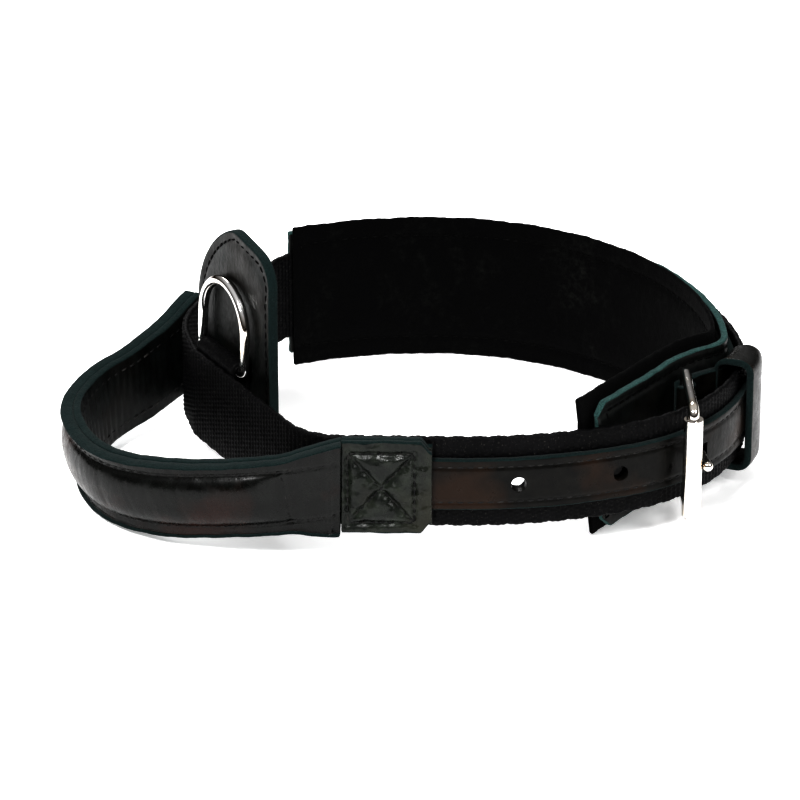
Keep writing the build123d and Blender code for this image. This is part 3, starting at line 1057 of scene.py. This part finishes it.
for label, stop in patch_stops.items():
    line = straight(stop, 0, patch_length, 60)
    rim = [
        strap_data(line, (0.1, patch_hollow + 0.2), low, high, across=5, corner=0.4)
        for low, high in (
            (patch_low, mid_height - half_handle - 0.1),
            (mid_height + half_handle + 0.1, patch_high),
        )
    ]
    piece = make(
        f"{label}_patch_leather",
        *joined(strap_data(line, (patch_hollow, patch_thickness), patch_low, patch_high, patch_relief,
                           lambda s, sign: sign * 0.18 * wander(s, 3.0, 83), across=62, corner=0.5),
                *rim),
        [black_patch, cut_edge, flesh_side], record_slot="patch_leather")
    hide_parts(f"{label}_patch")
    out, go = outward(stop[3]), onward(stop[3])
    middle = np.array([line[0, 1], line[0, 2], mid_height + box_middle[1]]) + go * box_middle[0]
    middle = middle + out * (patch_thickness - 0.8)
    corners = [middle + go * u * box_long + up * v * box_high
               for u, v in ((-1, -1), (1, -1), (1, 1), (-1, 1))]
    seams = [
        stitch_run([corners[a], corners[b]], [out, out], pitch=2.9, length=2.2, radius=0.28)
        for a, b in ((0, 1), (1, 2), (2, 3), (3, 0), (0, 2), (1, 3))
    ]
    sewing = sew(f"{label}_patch_stitches", seams, seam_thread)
    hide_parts(f"{label}_patch_stitching")


# ---- tab behind the D-ring

ring_out, ring_go = outward(ring_stop[3]), onward(ring_stop[3])
ring_foot = np.array([ring_stop[1], ring_stop[2], mid_height])


def arc_through(a, b, c, count):
    """Points of the circle through three points, from the first to the last."""
    (ax, ay), (bx, by), (cx, cy) = a, b, c
    d = 2 * (ax * (by - cy) + bx * (cy - ay) + cx * (ay - by))
    aa, bb, cc = ax**2 + ay**2, bx**2 + by**2, cx**2 + cy**2
    ux = (aa * (by - cy) + bb * (cy - ay) + cc * (ay - by)) / d
    uy = (aa * (cx - bx) + bb * (ax - cx) + cc * (bx - ax)) / d
    first, last = atan2(ay - uy, ax - ux), atan2(cy - uy, cx - ux)
    half = atan2(by - uy, bx - ux)
    turn = (last - first + pi) % (2 * pi) - pi
    if (half - first) * turn < 0 and abs(half - first) < pi:
        turn -= 2 * pi * np.sign(turn)
    radius = hypot(ax - ux, ay - uy)
    return [(ux + radius * cos(first + turn * k / count), uy + radius * sin(first + turn * k / count))
            for k in range(count)]


def run_of(a, b, count):
    """Evenly spaced points from a towards b."""
    return [(a[0] + (b[0] - a[0]) * k / count, a[1] + (b[1] - a[1]) * k / count) for k in range(count)]


tab_left, tab_right, tab_low = -23.5, 25.0, -14.0
tab_shoulder = (tab_right, 44)
tab_slope, tab_apex = (18, 56.5), (2, 59)
tab_hip = (tab_left, 30)
tab_outline = (
    run_of((tab_left, tab_low), (tab_right, tab_low), 32)
    + run_of((tab_right, tab_low), tab_shoulder, 38)
    + arc_through(tab_shoulder, (23.6, 52.5), tab_slope, 14)
    + run_of(tab_slope, tab_apex, 11)
    + arc_through(tab_apex, (-14.5, 47.8), tab_hip, 26)
    + run_of(tab_hip, (tab_left, tab_low), 28)
)


def softened(outline, passes):
    """An outline with its corners eased."""
    points = np.array(outline)
    for _ in range(passes):
        points = (np.roll(points, 1, axis=0) + 2 * points + np.roll(points, -1, axis=0)) / 4
    return points


tab_points = softened(tab_outline, 4)
tab_seam = 2.9


def tab_depth(u, v, inset):
    seam = 0.4 * float(dimple(inset - tab_seam, 0.8))
    swell = 0.25 * float(rise(inset, tab_seam, tab_seam + 5))
    return swell - seam + 0.12 * float(wander(np.array(u + 0.6 * v), 6.0, 91))


tab_plane = (ring_go, up, ring_out, ring_foot - ring_out * (tab_gap + tab_thickness))
tab_piece = make(
    "ring_tab_leather",
    *plate_data(tab_points, tab_plane, 0.0, tab_thickness, tab_depth, corner=0.55, rings=22),
    [black_grain, cut_edge, flesh_side], record_slot="grain_leather")
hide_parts("dring_tab")

seam = inset_outline(tab_points, tab_seam)
seam = np.concatenate([seam, seam[:1]])
seam_points = [tab_plane[3] + ring_go * u + up * v + ring_out * (tab_thickness - 0.28) for u, v in seam]
tab_row = stitch_run(seam_points, [ring_out] * len(seam_points), pitch=3.2)
tab_sewing = sew("tab_stitches", [tab_row], black_thread)
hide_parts("tab_stitching")


# ---- webbing loop that holds the D-ring

ring_depth = tab_gap - webbing
ring_middle = ring_foot - ring_out * (webbing + ring_depth / 2) + up * (ring_height - mid_height)
loop_radius = wire / 2
ply = ring_depth / 2 - loop_radius - 0.02
chape_drop = 24.0
chape_half = 12.0


def over_ring(x, y, z):
    """Loop coordinates: x across the plies, y up, z along the strap."""
    return ring_middle + (x[..., None] * ring_out) + (y[..., None] * up) + (z[..., None] * ring_go)


ring_loop_route = [(chape_drop, 0), (loop_radius, 180), (chape_drop, 0)]
ring_loop_line = trace((loop_radius, -chape_drop), 90, ring_loop_route, 0.4)
loop_rib = 1.7


def chape_relief(s, z, side):
    column = 1.25
    ribs = np.abs(np.sin(pi * s / loop_rib + np.floor(z / column) * pi / 2)) ** 0.7
    columns = np.abs(np.cos(pi * z / column)) ** 0.5
    return (side > 0) * (0.28 * ribs * (0.4 + 0.6 * columns) - 0.22)


chape_piece = make(
    "ring_loop_webbing",
    *strap_data(ring_loop_line, (0.0, ply), -chape_half, chape_half, chape_relief,
                lambda s, sign: sign * (0.2 * np.abs(np.sin(pi * s / loop_rib)) - 0.2),
                across=44, corner=0.6, place=over_ring),
    [black_nylon] * 3, record_slot="nylon_webbing")
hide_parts("dring_chape")


# ---- buckle leather and keeper

chape_leather = 1.3
chape_first, chape_last = reach(panel_route, 2), reach(panel_route, 7)
wrap_radius = wire / 2 + 0.08
wrap_leather = 1.75
eye_room = 3.3
half_webbing = webbing_width / 2 - 0.2
wrap_start = degrees(hinge_stop[3]) - 100
wrap_place = hinge + outward(radians(wrap_start)) * wrap_radius
wrap_line = trace(wrap_place[:2], wrap_start, [(wrap_radius, 300)], 0.4)
wraps = [
    strap_data(wrap_line, (0.0, wrap_leather), low, high, across=12, corner=0.35, rounds=(False, False))
    for low, high in ((mid_height - half_webbing, mid_height - eye_room),
                      (mid_height + eye_room, mid_height + half_webbing))
]
chape_strip = strap_data(
    stretch(panel_line, chape_first + 3.2, chape_last, 0.7),
    (panel_total + 0.03, panel_total + 2 * chape_leather),
    mid_height - half_webbing, mid_height + half_webbing,
    lambda s, z, side: (side > 0) * 0.1 * wander(s + z, 7.0, 95),
    lambda s, sign: sign * 0.15 * wander(s, 5.0, 96), across=30, corner=0.45)
buckle_leather = make("buckle_leather_loop", *joined(chape_strip, *wraps),
                      [black_billet, cut_edge, flesh_side], record_slot="billet_leather")
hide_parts("buckle_chape")

keeper_wall = 1.2
keeper_clearance = 0.5
keeper_place = 356.5
keeper_length = 13.0
keeper_corner = 4.6
keeper_lift = 0.5
keeper_leather = 2.2
keeper_height = 38.4
keeper_top = billet + keeper_clearance + keeper_leather


def rounded_rectangle(low, high, half, corner, count=8):
    """Offset and height pairs round a rectangle with rounded corners."""
    corner = min(corner, 0.45 * (high - low))
    near, far, tall = low + corner, high - corner, half - corner
    arcs = []
    for across, rise_to, begin, pieces in ((far, tall, 0, 6), (near, tall, 90, 18),
                                           (near, -tall, 180, 6), (far, -tall, 270, 18)):
        angles = [radians(begin + 90 * k / count) for k in range(count + 1)]
        arcs.append(([(across + corner * cos(a), rise_to + corner * sin(a)) for a in angles], pieces))
    dense = []
    for (arc, pieces), (following, _) in zip(arcs, arcs[1:] + arcs[:1]):
        dense += arc[:-1] + run_of(arc[-1], following[0], pieces)
    return dense


def panel_gap(x, y):
    """Distance from a point to the panel's inner line."""
    return float(np.min(np.hypot(panel_line[:, 1] - x, panel_line[:, 2] - y)))


def keeper_data():
    """A leather loop round the strap, from the panel's face outwards, with eased rims."""
    rim = 0.5
    places = list(np.linspace(rim, keeper_length - rim, 22))
    outer_rows = [(0.0, 0.5), (0.15, 0.12)] + [(p, 0.0) for p in places]
    outer_rows += [(keeper_length - 0.15, 0.12), (keeper_length, 0.5)]
    inner_rows = outer_rows[::-1]
    rows = []
    for index, (place, pinch) in enumerate(outer_rows + inner_rows):
        _, x, y, angle = at(strap_line, keeper_place + place)
        near = panel_total + keeper_lift - panel_gap(x, y)
        shape = np.array(rounded_rectangle(near, keeper_top, keeper_height / 2, keeper_corner))
        thick = keeper_wall + (keeper_leather - keeper_wall) * rise(shape[:, 0], near, near + 3)
        normal = np.roll(shape, -1, axis=0) - np.roll(shape, 1, axis=0)
        normal = np.stack([normal[:, 1], -normal[:, 0]], axis=1)
        normal /= norm(normal, axis=1)[:, None]
        outside = index < len(outer_rows)
        move = -normal * pinch if outside else -normal * (thick[:, None] - pinch)
        swell = 0.5 * sin(pi * place / keeper_length) * rise(shape[:, 0], near, keeper_top)
        ragged = 0.12 * wander(np.arange(len(shape)) * 1.0, 2.0, 97 + outside)
        slide = ragged if place < 1 or place > keeper_length - 1 else 0 * ragged
        off = shape[:, 0] + move[:, 0] + swell
        tall = mid_height + shape[:, 1] + move[:, 1]
        base_x, base_y = x + cos(angle) * slide, y + sin(angle) * slide
        rows.append(np.stack([base_x + sin(angle) * off, base_y - cos(angle) * off, tall], axis=1))
    count, n, half = len(rows[0]), len(rows), len(outer_rows)
    faces, slots = [], []
    for r in range(n):
        nxt = (r + 1) % n
        rim_row = r < 2 or r >= n - 3 or half - 3 <= r <= half + 1
        for c in range(count):
            d = (c + 1) % count
            faces.append([r * count + c, nxt * count + c, nxt * count + d, r * count + d])
            slots.append(EDGE if rim_row else (FACE if r < half else BACK))
    return np.concatenate(rows), faces, slots


keeper_piece = make("keeper_leather_loop", *keeper_data(), [black_keeper, cut_edge, flesh_side],
                    record_slot="keeper_leather")
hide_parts("keeper_loop")


# ---- hardware keeps its CAD shape

for node, material in (("d_ring", ring_chrome), ("buckle_frame", buckle_chrome),
                       ("buckle_roller", buckle_chrome), ("buckle_tongue", buckle_chrome)):
    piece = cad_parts[node]
    piece.data.materials.clear()
    piece.data.materials.append(material)


# ---- floor, light and camera

bpy.ops.mesh.primitive_plane_add(size=6)
floor = bpy.context.object
floor.name = "floor"
floor_material, floor_tree, floor_shader = nodes_of("floor")
wire_up(floor_tree, floor_shader, {
    "Base Color": (0.93, 0.93, 0.93, 1.0),
    "Roughness": 0.9,
    "Emission Color": (1.0, 1.0, 1.0, 1.0),
    "Emission Strength": 0.45,
})
floor.data.materials.append(floor_material)

world = bpy.data.worlds.new("studio")
world.use_nodes = True
sky = world.node_tree
backdrop = sky.nodes["Background"]
seen = sky.nodes.new("ShaderNodeLightPath")
around = sky.nodes.new("ShaderNodeTexCoord")
apart = sky.nodes.new("ShaderNodeSeparateXYZ")
sky.links.new(around.outputs["Generated"], apart.inputs["Vector"])
dim_floor, bright_ceiling = (0.030, 0.022, 0.016), (0.72, 0.72, 0.72)
room = ramp(sky, apart.outputs["Z"], (0.12, dim_floor), (0.75, bright_ceiling))
white = blend_colour(sky, seen.outputs["Is Camera Ray"], room, (1.0, 1.0, 1.0))
wire_up(sky, backdrop, {"Color": white, "Strength": 1.0})
scene.world = world
scene.view_settings.view_transform = "Standard"
scene.view_settings.gamma = 0.68


def softbox(name, spot, aim, size, power):
    """A square area light aimed at a point."""
    data = bpy.data.lights.new(name, "AREA")
    data.size = size
    data.energy = power
    lamp = show(name, data)
    lamp.location = spot
    lamp.rotation_euler = (Vector(aim) - Vector(spot)).to_track_quat("-Z", "Y").to_euler()


centre = (0.0, 0.0, 0.03)
softbox("key", (-0.35, -0.75, 0.95), centre, 0.30, 17)
softbox("fill", (0.8, -0.6, 0.8), centre, 0.35, 6)
softbox("back", (-0.2, 0.9, 0.9), centre, 0.5, 8)

aim = Vector((-0.0046, -0.0144, 0.025))
elevation = radians(25)
distance = 1.5
camera_data = bpy.data.cameras.new("camera")
camera_data.lens = 212.6
camera_data.sensor_width = 36.0
camera = show("camera", camera_data)
camera.location = aim + distance * Vector((0, -cos(elevation), sin(elevation)))
camera.rotation_euler = (aim - camera.location).to_track_quat("-Z", "Y").to_euler()
scene.camera = camera
